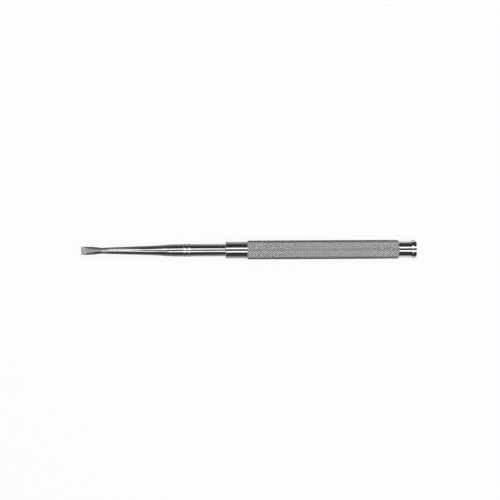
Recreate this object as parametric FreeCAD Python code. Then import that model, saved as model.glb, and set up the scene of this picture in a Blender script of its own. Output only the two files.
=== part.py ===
import FreeCAD, Part
import math
import os

# Straight bone chisel, about 168 mm long, lying on a table with its bevel up. It has two steel pieces:
# the blade, forged and ground in one with its round shank and hidden tang, and the handle, turned from
# one bar, with a plain collar, a diamond-knurled grip, a plain neck and a flared striking head.
# Millimetres. While it is made, the chisel lies along +X with the cutting edge at x = 0 and its axis at
# y = z = 0. The finished pieces are moved so that the middle of the chisel's length, on the table, is
# the origin.

Vector = FreeCAD.Vector

# Blade: the forged outline, and the bevel, the flat behind it and the flat back that are ground on it
edge_width = 4.1
edge_stock = 1.0
parallel_length = 4.0
edge_to_waist = 11.3
waist_width = 2.95
edge_drop = 0.7
bevel_length = 2.8
heel_height = 0.7
top_flat_length = 12.8
back_flat_length = 13.6
crown_stock = 0.9
back_stock = 0.5
forged_fullness = 0.5  # weight of the forged section's corners: 0.707 is an oval, less has flatter sides

# Taper in two cones, shank and tang
waist_to_taper = 3.0
slender_taper_diameter = 3.3
slender_taper_length = 23.7
steep_taper_diameter = 4.85
steep_taper_length = 7.9
shank_diameter = 6.15
shank_length = 26.8
ring_offset = 6.35
ring_spacing = 2.15
ring_width = 1.2
ring_slope = 0.3
ring_height = 0.17
tang_diameter = 4.8
tang_length = 20.0
tang_chamfer = 0.4

# Collar, and the blind bore in it that holds the tang
collar_diameter = 8.3
collar_length = 11.1
collar_chamfer = 0.35
tang_clearance = 0.01
bore_relief = 0.5
drill_point_angle = 118.0

# Diamond-knurled grip
grip_diameter = 9.5
grip_length = 75.4
knurl_depth = 0.3
knurl_round_pitch = 1.065
knurl_axial_pitch = 1.84
front_corner_break = 0.05
rear_corner_break = 0.25

# Neck and striking head
neck_diameter = 8.4
neck_length = 5.2
head_diameter = 9.45
head_flare_length = 1.9
head_rim_length = 1.35
head_edge_break = 0.35

# Places along the chisel, from the cutting edge
taper_start = edge_to_waist + waist_to_taper
steep_taper_start = taper_start + slender_taper_length
shank_start = steep_taper_start + steep_taper_length
collar_start = shank_start + shank_length
grip_start = collar_start + collar_length
neck_start = grip_start + grip_length
flare_start = neck_start + neck_length
rim_start = flare_start + head_flare_length
rim_end = rim_start + head_rim_length
overall_length = rim_end + head_edge_break

# How much the radius of the slender cone grows along it
slender_growth = (steep_taper_diameter - slender_taper_diameter) / 2 / slender_taper_length

# The knurl repeats every two half-steps round the grip and every two half-pitches along it
knurl_columns = 2 * round(math.pi * grip_diameter / knurl_round_pitch)
knurl_step = 2 * math.pi / knurl_columns
knurl_rings = round(2 * grip_length / knurl_axial_pitch)

# The grip rests on two neighbouring rows of points, half a step to each side of the axis
rest_height = grip_diameter / 2 * math.cos(knurl_step / 2)


def on_axis(x, radius):
    """A point of a turned outline: its place along the chisel and its radius."""
    return Vector(x, 0, radius)


def revolved(shape):
    return shape.revolve(Vector(0, 0, 0), Vector(1, 0, 0), 360)


def turned(points):
    """A solid turned round the chisel's axis from straight lines between outline points."""
    return revolved(Part.Face(Part.makePolygon(points + points[:1])))


def closed_solid(faces):
    """A solid from the faces all round it."""
    shell = Part.Shell(faces)
    shell.sewShape()
    solid = Part.Solid(shell.Shells[0])
    if solid.Volume < 0:
        solid.reverse()
    return solid


def slender_radius(x):
    """Radius of the taper's slender cone at a place along the chisel."""
    return slender_taper_diameter / 2 + slender_growth * (x - taper_start)


def top_face_height(x):
    """Height of the flat ground on top of the blade, which runs out on the taper."""
    rise = slender_radius(top_flat_length) - heel_height
    return heel_height + rise * (x - bevel_length) / (top_flat_length - bevel_length)


def back_face_height(x):
    """Height of the flat back, from the cutting edge to where it runs out on the taper."""
    fall = slender_radius(back_flat_length) - edge_drop
    return -edge_drop - fall * x / back_flat_length


def forged_station(x, half_width, widest_height):
    """Two points of the blade before grinding: on its widest line, and its top and bottom as one pair."""
    top = top_face_height(x) + crown_stock * (1 - x / top_flat_length) ** 2
    bottom = back_face_height(x) - back_stock * (1 - x / back_flat_length)
    return Vector(x, half_width, widest_height), Vector(x, top, bottom)


def line_through(points, end_direction):
    """A smooth line that starts straight along the chisel and ends in a given direction."""
    line = Part.BSplineCurve()
    line.interpolate(
        Points=points,
        Parameters=[point.x for point in points],
        InitialTangent=Vector(1, 0, 0),
        FinalTangent=end_direction,
    )
    return line


def shaping_lines():
    """The forged blade's widest line and its top and bottom lines, which flow into the slender cone."""
    wide = edge_width / 2
    waist = waist_width / 2
    radius = slender_radius(taper_start)
    shoulder = (parallel_length + edge_to_waist) / 2
    stations = [
        forged_station(-edge_stock, wide, -edge_drop),
        forged_station(parallel_length, wide, -edge_drop),
        forged_station(shoulder, waist + 0.6 * (wide - waist), -0.7 * edge_drop),
        forged_station(edge_to_waist, waist, -0.15 * edge_drop),
        (Vector(taper_start, radius, 0), Vector(taper_start, radius, -radius)),
    ]
    side_direction = Vector(1, slender_growth, 0)
    ridge_direction = Vector(1, slender_growth, -slender_growth)
    widest_line = line_through([widest for widest, ridge in stations], side_direction)
    ridge_line = line_through([ridge for widest, ridge in stations], ridge_direction)
    return widest_line, ridge_line


def flank(widest_line, ridge_line, side, top):
    """A quarter of the forged blade: an arc across it, carried along the shaping lines until it is round."""
    rows = []
    weights = []
    for widest, ridge in zip(widest_line.getPoles(), ridge_line.getPoles()):
        fullness = forged_fullness if widest.x < edge_to_waist else math.sqrt(0.5)
        weights.append([1, fullness, 1])
        height = ridge.y if top else ridge.z
        corner = Vector(widest.x, side * widest.y, height)
        rows.append([Vector(widest.x, side * widest.y, widest.z), corner, Vector(widest.x, 0, height)])
    surface = Part.BSplineSurface()
    surface.buildFromPolesMultsKnots(
        rows,
        widest_line.getMultiplicities(),
        [3, 3],
        widest_line.getKnots(),
        [0, 1],
        False,
        False,
        widest_line.Degree,
        2,
        weights,
    )
    return surface.toShape()


def forged_blade():
    """The blade before grinding: wide at the edge, narrow at the waist, round where the taper starts."""
    widest_line, ridge_line = shaping_lines()
    faces = [flank(widest_line, ridge_line, side, top) for side in (1, -1) for top in (True, False)]
    edges = [edge for face in faces for edge in face.Edges]
    for end in (-edge_stock, taper_start):
        rim = [edge for edge in edges if all(abs(vertex.X - end) < 1e-6 for vertex in edge.Vertexes)]
        faces.append(Part.Face(Part.Wire(Part.__sortEdges__(rim))))
    return closed_solid(faces)


def taper():
    """The slender cone behind the blade, and the steeper one that brings it up to the shank."""
    outline = [
        on_axis(taper_start, 0),
        on_axis(taper_start, slender_taper_diameter / 2),
        on_axis(steep_taper_start, steep_taper_diameter / 2),
        on_axis(shank_start, shank_diameter / 2),
        on_axis(shank_start, 0),
    ]
    return turned(outline)


def ground_faces():
    """The wedge that grinding leaves, seen from the side: back, bevel, and the flat behind the bevel."""
    outline = [
        Vector(0, -edge_width, -edge_drop),
        Vector(bevel_length, -edge_width, heel_height),
        Vector(shank_start, -edge_width, top_face_height(shank_start)),
        Vector(shank_start, -edge_width, back_face_height(shank_start)),
    ]
    return Part.Face(Part.makePolygon(outline + outline[:1])).extrude(Vector(0, 2 * edge_width, 0))


def shank():
    """The cylinder behind the taper with its two raised rings, and the tang that the handle hides."""
    radius = shank_diameter / 2
    tang = tang_diameter / 2
    tang_end = collar_start + tang_length
    outline = [on_axis(shank_start, 0), on_axis(shank_start, radius)]
    for ring in range(2):
        ring_start = shank_start + ring_offset + ring * ring_spacing - ring_width / 2
        ring_end = ring_start + ring_width
        outline += [
            on_axis(ring_start, radius),
            on_axis(ring_start + ring_slope, radius + ring_height),
            on_axis(ring_end - ring_slope, radius + ring_height),
            on_axis(ring_end, radius),
        ]
    outline += [
        on_axis(collar_start, radius),
        on_axis(collar_start, tang),
        on_axis(tang_end - tang_chamfer, tang),
        on_axis(tang_end, tang - tang_chamfer),
        on_axis(tang_end, 0),
    ]
    return turned(outline)


def blade_and_shank():
    """The working piece, from the cutting edge to the end of the tang."""
    working_end = forged_blade().fuse(taper()).common(ground_faces())
    return working_end.fuse(shank()).removeSplitter()


def knurl_point(ring, column):
    """A raised point or a crossing of grooves: they take turns along the grip and round it."""
    radius = grip_diameter / 2
    if (ring + column) % 2:
        radius -= knurl_depth
    elif ring == 0:
        radius -= min(front_corner_break, knurl_depth)
    elif ring == knurl_rings:
        radius -= min(rear_corner_break, knurl_depth)
    angle = (column + 0.5) * knurl_step
    x = grip_start + grip_length * ring / knurl_rings
    return Vector(x, radius * math.sin(angle), -radius * math.cos(angle))


def triangle(a, b, c):
    return Part.Face(Part.makePolygon([a, b, c, a]))


def knurled_skin():
    """The diamond knurl: each cell between four neighbours is folded along the groove that crosses it."""
    faces = []
    for ring in range(knurl_rings):
        for column in range(knurl_columns):
            here = knurl_point(ring, column)
            along = knurl_point(ring + 1, column)
            around = knurl_point(ring, (column + 1) % knurl_columns)
            across = knurl_point(ring + 1, (column + 1) % knurl_columns)
            if (ring + column) % 2:
                faces.append(triangle(here, around, across))
                faces.append(triangle(here, across, along))
            else:
                faces.append(triangle(here, around, along))
                faces.append(triangle(around, across, along))
    return faces


def shoulder(ring, inner_radius):
    """A flat end of the grip, between the outermost knurl points and the plain collar or neck."""
    corners = [knurl_point(ring, column) for column in range(knurl_columns)]
    outer = Part.Face(Part.makePolygon(corners + corners[:1]))
    centre = Vector(corners[0].x, 0, 0)
    circle = Part.makeCircle(inner_radius, centre, Vector(1, 0, 0))
    return outer.cut(Part.Face(Part.Wire(circle))).Faces[0]


def turned_faces(edges):
    """The faces that an open outline sweeps round the axis."""
    return [revolved(edge).Faces[0] for edge in edges]


def collar_faces():
    """From the shoulder of the grip forward over the chamfer, and down the blind bore of the tang."""
    radius = collar_diameter / 2
    bore = tang_diameter / 2 + tang_clearance
    bore_end = collar_start + tang_length + bore_relief
    point_length = bore / math.tan(math.radians(drill_point_angle / 2))
    outline = [
        on_axis(grip_start, radius),
        on_axis(collar_start + collar_chamfer, radius),
        on_axis(collar_start, radius - collar_chamfer),
        on_axis(collar_start, bore),
        on_axis(bore_end, bore),
        on_axis(bore_end + point_length, 0),
    ]
    return turned_faces([Part.makeLine(a, b) for a, b in zip(outline, outline[1:])])


def head_faces():
    """The neck, the hollow flare of the striking head, its rim, broken edge and flat face."""
    neck = neck_diameter / 2
    head = head_diameter / 2
    flare = Part.BezierCurve()
    hollow = on_axis(flare_start + 0.6 * head_flare_length, neck)
    flare.setPoles([on_axis(flare_start, neck), hollow, on_axis(rim_start, head)])
    edges = [
        Part.makeLine(on_axis(neck_start, neck), on_axis(flare_start, neck)),
        flare.toShape(),
        Part.makeLine(on_axis(rim_start, head), on_axis(rim_end, head)),
        Part.makeLine(on_axis(rim_end, head), on_axis(overall_length, head - head_edge_break)),
        Part.makeLine(on_axis(overall_length, head - head_edge_break), on_axis(overall_length, 0)),
    ]
    return turned_faces(edges)


def handle():
    """The turned and knurled handle, closed from its turned faces, shoulders and knurl."""
    faces = collar_faces()
    faces.append(shoulder(0, collar_diameter / 2))
    faces += knurled_skin()
    faces.append(shoulder(knurl_rings, neck_diameter / 2))
    faces += head_faces()
    return closed_solid(faces)


os.makedirs("parts", exist_ok=True)
for name, piece in {"blade_and_shank": blade_and_shank(), "handle": handle()}.items():
    piece.translate(Vector(-overall_length / 2, 0, rest_height))
    print(name, "solids", len(piece.Solids), "valid", piece.isValid(), "mm3", round(piece.Volume, 1))
    piece.exportStep("parts/" + name + ".step")
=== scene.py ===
import math
import bmesh
import bpy
import numpy as np
from mathutils import Matrix, Vector


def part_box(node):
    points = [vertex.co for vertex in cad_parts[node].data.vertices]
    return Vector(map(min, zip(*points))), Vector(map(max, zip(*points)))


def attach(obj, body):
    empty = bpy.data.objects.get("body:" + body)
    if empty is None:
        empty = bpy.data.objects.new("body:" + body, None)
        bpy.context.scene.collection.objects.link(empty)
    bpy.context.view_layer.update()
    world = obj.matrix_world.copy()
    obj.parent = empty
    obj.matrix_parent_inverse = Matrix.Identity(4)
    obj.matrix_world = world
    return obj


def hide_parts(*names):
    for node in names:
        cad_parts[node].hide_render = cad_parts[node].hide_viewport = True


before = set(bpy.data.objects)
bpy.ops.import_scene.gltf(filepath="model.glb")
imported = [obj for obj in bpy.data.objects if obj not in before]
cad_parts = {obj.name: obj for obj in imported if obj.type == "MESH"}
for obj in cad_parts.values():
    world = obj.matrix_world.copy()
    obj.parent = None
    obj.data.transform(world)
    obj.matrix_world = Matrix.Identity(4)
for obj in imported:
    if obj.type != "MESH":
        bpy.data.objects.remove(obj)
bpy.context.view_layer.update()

# The blade, its taper and the shank are one forging of hardened stainless steel. The end of a round bar is
# forged out flat and ground with three flats, the bevel, the top and the back, and the rest is polished.
# Its tang sits in the handle's bore. Sizes are millimetres from the cutting edge and from the axis.
edge_width = 4.1
edge_stock = 1.0
edge_trim = 0.4
waist_width = 2.95
edge_drop = 0.7
bevel_length = 2.8
heel_height = 0.7
top_flat_end = 12.8
back_flat_end = 13.6
crown_stock = 0.9
back_stock = 0.5
forged_fullness = 0.5
parallel_end = 4.0
waist_place = 11.3
taper_start = 14.3
steep_taper_start = 38.0
shank_start = 45.9
collar_start = 72.7
slender_radius = 1.65
steep_radius = 2.425
shank_radius = 3.075
tang_radius = 2.4
tang_end = 92.7
tang_chamfer = 0.4
ring_places = (52.25, 54.4)
ring_half_width = 0.6
ring_slope = 0.3
ring_height = 0.17
facets_round = 192
forged_rings = 150

blade_low, blade_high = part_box("blade_and_shank")
handle_low, handle_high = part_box("handle")
axis_height = (handle_low.z + handle_high.z) / 2
in_place = Matrix.Translation((blade_low.x, 0, axis_height)) @ Matrix.Scale(0.001, 4)
taper_growth = (steep_radius - slender_radius) / (steep_taper_start - taper_start)


def smooth_line(places, heights, end_slope):
    """The line that a thin spring takes through these points, level where it starts."""
    count = len(places)
    bends, pulls = np.zeros((count, count)), np.zeros(count)
    bends[0, 0] = bends[-1, -1] = 1
    pulls[-1] = end_slope
    for i in range(1, count - 1):
        before, after = places[i] - places[i - 1], places[i + 1] - places[i]
        bends[i, i - 1 : i + 2] = after, 2 * (before + after), before
        rise_before, rise_after = heights[i] - heights[i - 1], heights[i + 1] - heights[i]
        pulls[i] = 3 * (before * rise_after / after + after * rise_before / before)
    slopes = np.linalg.solve(bends, pulls)

    def height(x):
        i = min(max(int(np.searchsorted(places, x)) - 1, 0), count - 2)
        span = places[i + 1] - places[i]
        t = (x - places[i]) / span
        return (
            (2 * t**3 - 3 * t**2 + 1) * heights[i]
            + (t**3 - 2 * t**2 + t) * span * slopes[i]
            + (3 * t**2 - 2 * t**3) * heights[i + 1]
            + (t**3 - t**2) * span * slopes[i + 1]
        )

    return height


def top_face_height(x):
    rise = slender_radius + taper_growth * (top_flat_end - taper_start) - heel_height
    return heel_height + rise * (x - bevel_length) / (top_flat_end - bevel_length)


def back_face_height(x):
    fall = slender_radius + taper_growth * (back_flat_end - taper_start) - edge_drop
    return -edge_drop - fall * x / back_flat_end


def section(bm, x, half_width, widest_height, top, bottom, fullness=math.sqrt(0.5)):
    """One ring across the bar: four quarter arcs between its two sides, its top and its bottom. They are
    ovals, or flatter and more like a roof where the fullness is less."""
    if half_width == 0:
        return [bm.verts.new((x, 0, 0))]
    ring = []
    for i in range(facets_round):
        turn, t = divmod(4 * i / facets_round, 1)
        start, corner, end = (1 - t) ** 2, 2 * fullness * t * (1 - t), t**2
        onward, back = (end + corner) / (start + corner + end), (start + corner) / (start + corner + end)
        y, z = [(back, onward), (-onward, back), (-back, -onward), (onward, -back)][int(turn)]
        reach = top - widest_height if z > 0 else widest_height - bottom
        ring.append(bm.verts.new((x, half_width * y, widest_height + reach * z)))
    return ring


def round_section(bm, x, radius):
    return section(bm, x, radius, 0, radius, -radius)


def skin(bm, rings, finish=0):
    """Faces from each ring to the next."""
    for first, second in zip(rings, rings[1:]):
        for i in range(facets_round):
            j = (i + 1) % facets_round
            before = first[i % len(first)], first[j % len(first)]
            after = second[j % len(second)], second[i % len(second)]
            face = bm.faces.new(list(dict.fromkeys(before + after)))
            face.smooth = True
            face.material_index = finish


def eased(corners):
    """A turned outline with its corners polished round: each is a place, a radius and how far it is eased.
    A long run gets a point close to each of its ends, which keeps the polish straight between them."""
    outline = []
    for i, (x, radius, reach) in enumerate(corners):
        corner = Vector((x, radius))
        steps = [corner]
        if reach:
            back = Vector(corners[i - 1][:2]) - corner
            on = Vector(corners[i + 1][:2]) - corner
            start = corner + back.normalized() * min(reach, back.length)
            end = corner + on.normalized() * min(reach, on.length)
            share = [step / 8 for step in range(9)]
            steps = [(1 - t) ** 2 * start + 2 * t * (1 - t) * corner + t**2 * end for t in share]
        outline += [point for point in steps if not outline or (point - outline[-1]).length > 1e-6]
    held = outline[:1]
    for before, after in zip(outline, outline[1:]):
        run = after - before
        if run.length > 0.5:
            held += [before + 0.05 * run.normalized(), after - 0.05 * run.normalized()]
        held.append(after)
    return held


def crisp_edges(bm, angle):
    """Edges that turn by more than this stay crisp."""
    for edge in bm.edges:
        if len(edge.link_faces) == 2 and edge.calc_face_angle(0) > math.radians(angle):
            edge.smooth = False


def as_piece(bm, name, finishes):
    """The mesh as a piece of the chisel, at its place on the table."""
    bmesh.ops.recalc_face_normals(bm, faces=bm.faces)
    bm.transform(in_place)
    mesh = bpy.data.meshes.new(name)
    bm.to_mesh(mesh)
    bm.free()
    for finish in finishes:
        mesh.materials.append(finish)
    piece = bpy.data.objects.new(name, mesh)
    bpy.context.scene.collection.objects.link(piece)
    return piece


shoulder = (parallel_end + waist_place) / 2
stations = [-edge_stock, parallel_end, shoulder, waist_place, taper_start]
wide, waist = edge_width / 2, waist_width / 2
half_widths = [wide, wide, waist + 0.6 * (wide - waist), waist, slender_radius]
side_line = smooth_line(stations, half_widths, taper_growth)
widest_line = smooth_line(stations, [-edge_drop, -edge_drop, -0.7 * edge_drop, -0.15 * edge_drop, 0], 0)
crown = [top_face_height(x) + crown_stock * (1 - x / top_flat_end) ** 2 for x in stations[:-1]]
belly = [back_face_height(x) - back_stock * (1 - x / back_flat_end) for x in stations[:-1]]
crown_line = smooth_line(stations, crown + [slender_radius], taper_growth)
belly_line = smooth_line(stations, belly + [-slender_radius], -taper_growth)

bar = bmesh.new()
rings = []
forged_start = edge_trim - edge_stock
for i in range(forged_rings):
    x = forged_start + (taper_start - forged_start) * i / forged_rings
    roundness = min(max((x - shoulder) / (taper_start - shoulder), 0), 1)
    fullness = forged_fullness + (math.sqrt(0.5) - forged_fullness) * roundness**2
    rings.append(section(bar, x, side_line(x), widest_line(x), crown_line(x), belly_line(x), fullness))
raised_rings = []
for middle in ring_places:
    raised_rings += [
        (middle - ring_half_width, shank_radius, 0.05),
        (middle - ring_half_width + ring_slope, shank_radius + ring_height, 0.2),
        (middle + ring_half_width - ring_slope, shank_radius + ring_height, 0.2),
        (middle + ring_half_width, shank_radius, 0.05),
    ]
shank_outline = eased(
    [(taper_start, slender_radius, 0), (steep_taper_start, steep_radius, 4), (shank_start, shank_radius, 2.5)]
    + raised_rings
    + [
        (collar_start, shank_radius, 0),
        (collar_start, tang_radius, 0),
        (tang_end - tang_chamfer, tang_radius, 0),
        (tang_end, tang_radius - tang_chamfer, 0),
        (tang_end, 0, 0),
    ]
)
rings += [round_section(bar, x, radius) for x, radius in shank_outline]
skin(bar, rings)
bar.faces.new(rings[0])
crisp_edges(bar, 20)

# What the grinding takes off: each flat is a point on it and the direction out of the steel, and each is left
# with the ground finish
slope = (top_face_height(10) - top_face_height(0)) / 10
fall = (back_face_height(10) - back_face_height(0)) / 10
bevel_slope = (heel_height + edge_drop) / bevel_length
for point, outward in [
    ((0, 0, -edge_drop), (-bevel_slope, 0, 1)),
    ((bevel_length, 0, heel_height), (-slope, 0, 1)),
    ((0, 0, -edge_drop), (fall, 0, -1)),
]:
    everything = bar.verts[:] + bar.edges[:] + bar.faces[:]
    cut = bmesh.ops.bisect_plane(
        bar, geom=everything, dist=1e-7, plane_co=point, plane_no=outward, clear_outer=True
    )
    rim = [part for part in cut["geom_cut"] if isinstance(part, bmesh.types.BMEdge)]
    for edge in rim:
        edge.smooth = False
    for face in bmesh.ops.edgeloop_fill(bar, edges=rim)["faces"]:
        face.material_index = 1


class Surface:
    """Something that changes over a surface: it wraps a socket, and sums and products add Math nodes."""

    def __init__(self, socket):
        self.socket = socket

    def node(self, kind, settings={}, inputs={}, output=0):
        """Any node: its settings first, then its sockets, each with a number, a colour or a Surface."""
        tree = self.socket.id_data
        made = tree.nodes.new(kind)
        for name, value in settings.items():
            setattr(made, name, value)
        for name, value in inputs.items():
            if isinstance(value, Surface):
                tree.links.new(value.socket, made.inputs[name])
            else:
                made.inputs[name].default_value = value
        return Surface(made.outputs[output])

    def math(self, operation, first, second):
        return self.node("ShaderNodeMath", {"operation": operation}, {0: first, 1: second})

    def __add__(self, other):
        return self.math("ADD", self, other)

    __radd__ = __add__

    def __sub__(self, other):
        return self.math("SUBTRACT", self, other)

    def __rsub__(self, other):
        return self.math("SUBTRACT", other, self)

    def __mul__(self, other):
        return self.math("MULTIPLY", self, other)

    __rmul__ = __mul__

    def stretched(self, x, y, z):
        """The place on the surface, scaled along each axis."""
        return self.node("ShaderNodeVectorMath", {"operation": "MULTIPLY"}, {0: self, 1: (x, y, z)})

    def noise(self, scale, detail=2.0):
        return self.node("ShaderNodeTexNoise", {}, {"Vector": self, "Scale": scale, "Detail": detail}, "Fac")

    def between(self, first, second):
        """A colour from the first to the second as this goes from 0 to 1."""
        inputs = {0: self, 6: (*first, 1), 7: (*second, 1)}
        return self.node("ShaderNodeMix", {"data_type": "RGBA"}, inputs, 2)

    def ranged(self, first, last, at_first, at_last):
        """From one value to another, as this goes from first to last."""
        inputs = {"Value": self, "From Min": first, "From Max": last, "To Min": at_first, "To Max": at_last}
        return self.node("ShaderNodeMapRange", {}, inputs)

    def bump(self, strength, distance):
        inputs = {"Height": self, "Strength": strength, "Distance": distance}
        return self.node("ShaderNodeBump", {}, inputs)


def steel(name):
    """Bare stainless steel: its material, its shader's sockets and the place on its surface in metres."""
    material = bpy.data.materials.new(name)
    material.use_nodes = True
    shader = material.node_tree.nodes["Principled BSDF"]
    shader.inputs["Metallic"].default_value = 1.0
    place = Surface(material.node_tree.nodes.new("ShaderNodeTexCoord").outputs["Object"])
    return material, shader.inputs, place


def give(inputs, **values):
    """Feeds what changes over the surface into the shader."""
    for name, value in values.items():
        socket = inputs[name.replace("_", " ")]
        socket.id_data.links.new(value.socket, socket)


# Buffed along its length: nearly a mirror, with faint hair lines and a little haze from handling. The
# flanks of the blade, in front of the waist, are left satin.
polished_steel, inputs, place = steel("polished_steel")
haze = place.noise(220, 3)
hairs = place.stretched(60, 9000, 9000).noise(1, 2)
satin = place.node("ShaderNodeSeparateXYZ", {}, {"Vector": place}, "X").ranged(-0.0785, -0.0745, 0.25, 0.0)
give(
    inputs,
    Base_Color=haze.between((0.60, 0.60, 0.61), (0.66, 0.66, 0.67)),
    Roughness=0.05 + 0.05 * haze + 0.05 * hairs + satin,
    Normal=hairs.bump(0.06, 0.00002),
)

# Ground on a fine wheel: satin, with close scratches along the blade
ground_steel, inputs, place = steel("ground_steel")
scratches = place.stretched(150, 16000, 16000).noise(1, 3)
patches = place.noise(900, 2)
give(
    inputs,
    Base_Color=scratches.between((0.56, 0.56, 0.57), (0.66, 0.66, 0.67)),
    Roughness=0.28 + 0.12 * scratches + 0.06 * patches,
    Normal=scratches.bump(0.25, 0.00002),
)

blade = as_piece(bar, "blade", [polished_steel, ground_steel])
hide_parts("blade_and_shank")
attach(blade, "root")

# The handle is one bar of stainless steel, turned to a collar in front and to a neck and a flared head
# behind, with the grip between them rolled in a diamond knurl. The collar is bored for the tang. Two sets
# of grooves cross on the grip and leave rows of four-sided points with small flat tops.
collar_radius = 4.15
collar_chamfer = 0.35
bore_radius = 2.41
bore_end = 93.2
drill_point_length = 1.45
grip_start = 83.8
grip_end = 159.2
crest_radius = 4.742
knurl_depth = 0.2
knurl_starts = 28
knurl_pitch = 1.47
groove_samples = (0, 0.38, 0.62)
groove_profile = (1, 0, 0)
front_break = 0.06
rear_break = 0.3
neck_radius = 4.2
flare_start = 164.4
flare_length = 1.9
head_radius = 4.725
head_end = 168.0

grip = bmesh.new()
samples = len(groove_samples)
steps_round = knurl_starts * samples
knurl_points = {}


def groove(step):
    """How far along the knurl's grooves a step is, in grooves, and how deep a single groove is there."""
    return step // samples + groove_samples[step % samples], groove_profile[step % samples]


def knurl_point(right_step, left_step):
    """A point of the knurl, counted across its right-hand and its left-hand grooves."""
    if right_step >= steps_round:
        right_step, left_step = right_step - steps_round, left_step + steps_round
    key = right_step, left_step
    if key not in knurl_points:
        right, right_depth = groove(right_step)
        left, left_depth = groove(left_step)
        depth = max(right_depth, left_depth)
        radius = crest_radius - knurl_depth * depth
        angle = (right - left + 0.5) * math.pi / knurl_starts
        x = grip_start + (right + left) * knurl_pitch / 2
        point = grip.verts.new((x, radius * math.sin(angle), -radius * math.cos(angle)))
        knurl_points[key] = point, depth
    return knurl_points[key]


grip_steps = math.ceil(2 * (grip_end - grip_start) / knurl_pitch) * samples
for right_step in range(steps_round):
    for left_step in range(-right_step - samples, grip_steps - right_step + samples):
        corners = [
            knurl_point(right_step, left_step),
            knurl_point(right_step + 1, left_step),
            knurl_point(right_step + 1, left_step + 1),
            knurl_point(right_step, left_step + 1),
        ]
        (a, depth_a), (b, depth_b), (c, depth_c), (d, depth_d) = corners
        if depth_a + depth_c <= depth_b + depth_d:
            folded = [(a, b, c), (a, c, d)]
        else:
            folded = [(b, c, d), (b, d, a)]
        for three in folded:
            grip.faces.new(three).material_index = 1

for place_along, outward, keep in [
    (grip_start, -1, False),
    (grip_end, 1, False),
    (grip_start + front_break, 1, True),
    (grip_end - rear_break, 1, True),
]:
    everything = grip.verts[:] + grip.edges[:] + grip.faces[:]
    cut = bmesh.ops.bisect_plane(
        grip, geom=everything, dist=1e-6, plane_co=(place_along, 0, 0), plane_no=(outward, 0, 0),
        clear_outer=not keep,
    )
for point in grip.verts:
    x, y, z = point.co
    limit = crest_radius - max(front_break - (x - grip_start), rear_break - (grip_end - x), 0)
    radius = math.hypot(y, z)
    if radius > limit:
        point.co = (x, y * limit / radius, z * limit / radius)

collar_outline = eased(
    [
        (bore_end + drill_point_length, 0, 0),
        (bore_end, bore_radius, 0),
        (collar_start, bore_radius, 0),
        (collar_start, collar_radius - collar_chamfer, 0.05),
        (collar_start + collar_chamfer, collar_radius, 0.08),
        (grip_start, collar_radius, 0),
    ]
)
head_outline = eased(
    [
        (grip_end, neck_radius, 0),
        (flare_start + 0.6 * flare_length, neck_radius, 0.6 * flare_length),
        (flare_start + flare_length, head_radius, 0.25),
        (head_end, head_radius, 0.36),
        (head_end, 0, 0),
    ]
)
for outline, shoulder_ring, shoulder_place in [(collar_outline, -1, grip_start), (head_outline, 0, grip_end)]:
    rim = [
        edge for edge in grip.edges
        if edge.is_boundary and all(abs(vertex.co.x - shoulder_place) < 1e-5 for vertex in edge.verts)
    ]
    rings = [round_section(grip, x, radius) for x, radius in outline]
    skin(grip, rings)
    rim += [edge for edge in {edge for vertex in rings[shoulder_ring] for edge in vertex.link_edges}
            if edge.is_boundary]
    bmesh.ops.triangle_fill(grip, edges=rim, use_beauty=True)
crisp_edges(grip, 20)

# Rolled and glass-blasted: satin on the points and duller down in the grooves. Its colour is painted shade,
# dark down in the grooves, and painted light, pale on the points.
knurled_steel, inputs, place = steel("knurled_steel")
from_axis = place.node("ShaderNodeVectorMath", {"operation": "SUBTRACT"}, {0: place, 1: (0, 0, axis_height)})
across = from_axis.stretched(0, 1, 1)
radius = across.node("ShaderNodeVectorMath", {"operation": "LENGTH"}, {0: across}, "Value")
# How high the knurl stands, from groove to point: it paints shade into the grooves and light onto the points,
# and dulls the grooves
height = radius.ranged((crest_radius - knurl_depth) / 1000, crest_radius / 1000, 0, 1)
speckle = place.noise(5000, 3)
give(
    inputs,
    # Painted shade in the grooves, painted light on the points
    Base_Color=height.between((0.16, 0.16, 0.165), (0.86, 0.86, 0.87)),
    Roughness=0.46 - 0.05 * height + 0.06 * speckle,
    Normal=speckle.bump(0.12, 0.00002),
)

handle = as_piece(grip, "knurled_handle", [polished_steel, knurled_steel])
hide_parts("handle")
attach(handle, "root")

# A plain white table. It is white to the camera and keeps a faint soft shadow. In the steel it shows painted
# light
# and shade: white close to the neck and the head, greyer towards the blade, a painted shadow beside the grip,
# which shades it, and dark away from the chisel.
table_mesh = bpy.data.meshes.new("table")
table_mesh.from_pydata([(-3, -3, 0), (3, -3, 0), (3, 3, 0), (-3, 3, 0)], [], [(0, 1, 2, 3)])
table = bpy.data.objects.new("table", table_mesh)
bpy.context.scene.collection.objects.link(table)
white_table = bpy.data.materials.new("white_table")
white_table.use_nodes = True
nodes = white_table.node_tree.nodes
nodes.remove(nodes["Principled BSDF"])
ray = nodes.new("ShaderNodeLightPath").outputs
to_camera = Surface(ray["Is Camera Ray"])
mirrored = Surface(ray["Is Glossy Ray"]) + Surface(ray["Is Transmission Ray"])
spot = Surface(nodes.new("ShaderNodeTexCoord").outputs["Object"])
grip_middle = 0.0375
x = spot.node("ShaderNodeSeparateXYZ", {}, {"Vector": spot}, "X")
y = spot.node("ShaderNodeSeparateXYZ", {}, {"Vector": spot}, "Y")
# Painted light and shade, seen only in the steel: greyer towards the blade, a painted shadow beside the grip,
# and darker away from the chisel
along = x.ranged(-0.07, 0.075, 0.2, 1.0)
painted_grip_shadow = x.math("ABSOLUTE", x - grip_middle, 0).ranged(0.033, 0.04, 0.15, 1.0)
aside = y.math("ABSOLUTE", y, 0).ranged(0.011, 0.1, 1.0, 0.0)
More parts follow.
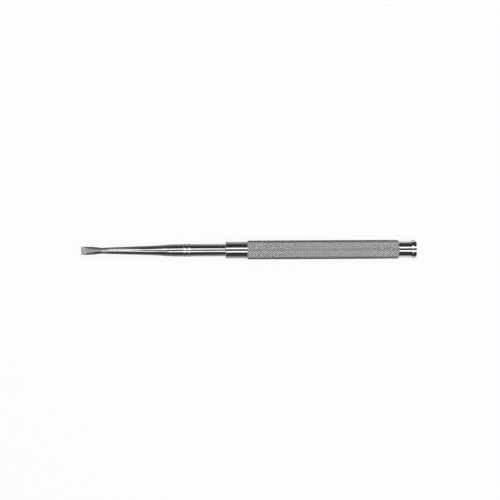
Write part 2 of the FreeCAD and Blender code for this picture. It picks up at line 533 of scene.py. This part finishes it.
# The painted shade of the table in the steel; plain white for every other ray
shade = mirrored.math("MAXIMUM", 1 - mirrored, along * painted_grip_shadow * aside)
matt = shade.node("ShaderNodeBsdfDiffuse", {}, {"Color": shade.between((0, 0, 0), (0.9, 0.9, 0.9))})
glow = shade.node("ShaderNodeEmission", {}, {"Color": shade.between((0, 0, 0), (1, 1, 1)), "Strength": 1.0})
both = shade.node("ShaderNodeMixShader", {}, {0: 0.92 * to_camera + 0.72 * mirrored, 1: matt, 2: glow})
white_table.node_tree.links.new(both.socket, nodes["Material Output"].inputs["Surface"])
table_mesh.materials.append(white_table)

# A dark room round the white table. It is white to the camera, and in the steel just above the table.
world = bpy.data.worlds.new("studio")
bpy.context.scene.world = world
world.use_nodes = True
nodes = world.node_tree.nodes
ray = nodes.new("ShaderNodeLightPath").outputs
direction = Surface(nodes.new("ShaderNodeTexCoord").outputs["Generated"])
upward = direction.node("ShaderNodeSeparateXYZ", {}, {"Vector": direction}, "Z")
mirrored = Surface(ray["Is Glossy Ray"]) + Surface(ray["Is Transmission Ray"])
white = upward.math("MAXIMUM", Surface(ray["Is Camera Ray"]), mirrored * upward.ranged(0.0, 0.02, 1.0, 0.0))
tone = white.between((0.05, 0.05, 0.05), (1, 1, 1))
world.node_tree.links.new(tone.socket, nodes["Background"].inputs["Color"])


def soft_box(place, aim, length, width, brightness):
    """A soft box with its length across the line of sight, as bright as it looks in a mirror."""
    light = bpy.data.lights.new("soft_box", "AREA")
    light.shape = "RECTANGLE"
    light.size, light.size_y = length, width
    light.energy = brightness * math.pi * length * width
    lamp = bpy.data.objects.new("soft_box", light)
    lamp.location = place
    lamp.rotation_euler = (Vector(aim) - Vector(place)).to_track_quat("-Z", "Y").to_euler()
    lamp.visible_camera = False
    bpy.context.scene.collection.objects.link(lamp)


# Two long rows of soft boxes hang over the table, one each side of the camera, and give the steel its two
# bright lines. The near row is dimmer over the blade, and two small ones join the lines along the taper.
# One at each end and four at the corners light the bevel and the knurl without showing in the round bar.
soft_box((0.18, 0.2575, 0.6), (0.18, 0.2575, 0), 0.94, 0.215, 1.9)
soft_box((0.225, -0.2575, 0.6), (0.225, -0.2575, 0), 0.85, 0.215, 1.8)
soft_box((-0.245, -0.2575, 0.6), (-0.245, -0.2575, 0), 0.09, 0.215, 0.6)
soft_box((-0.1075, 0.022, 0.2), (-0.1075, 0.022, 0), 0.019, 0.06, 1.8)
soft_box((-0.111, 0.167, 0.105), (-0.064, 0, 0), 0.022, 0.1, 0.55)
soft_box((-0.65, 0, 0.4), (-0.05, 0, 0), 0.6, 0.5, 0.72)
soft_box((0.65, 0, 0.4), (0.05, 0, 0), 0.5, 0.5, 2.2)
for end in (-1, 1):
    for side in (-1, 1):
        soft_box((end * 0.5, side * 0.42, 0.6), (0.03, 0, 0), 0.4, 0.4, 1.9)

# The camera looks straight down on the middle of the chisel
lens = bpy.data.cameras.new("camera")
lens.lens = 57.6
lens.sensor_width = 36
lens.clip_start = 0.01
camera = bpy.data.objects.new("camera", lens)
camera.location = (0.00097, 0, axis_height + 0.4016)
camera.rotation_euler = (0, 0, math.radians(-0.29))
bpy.context.scene.collection.objects.link(camera)
bpy.context.scene.camera = camera
bpy.context.scene.view_settings.view_transform = "Standard"
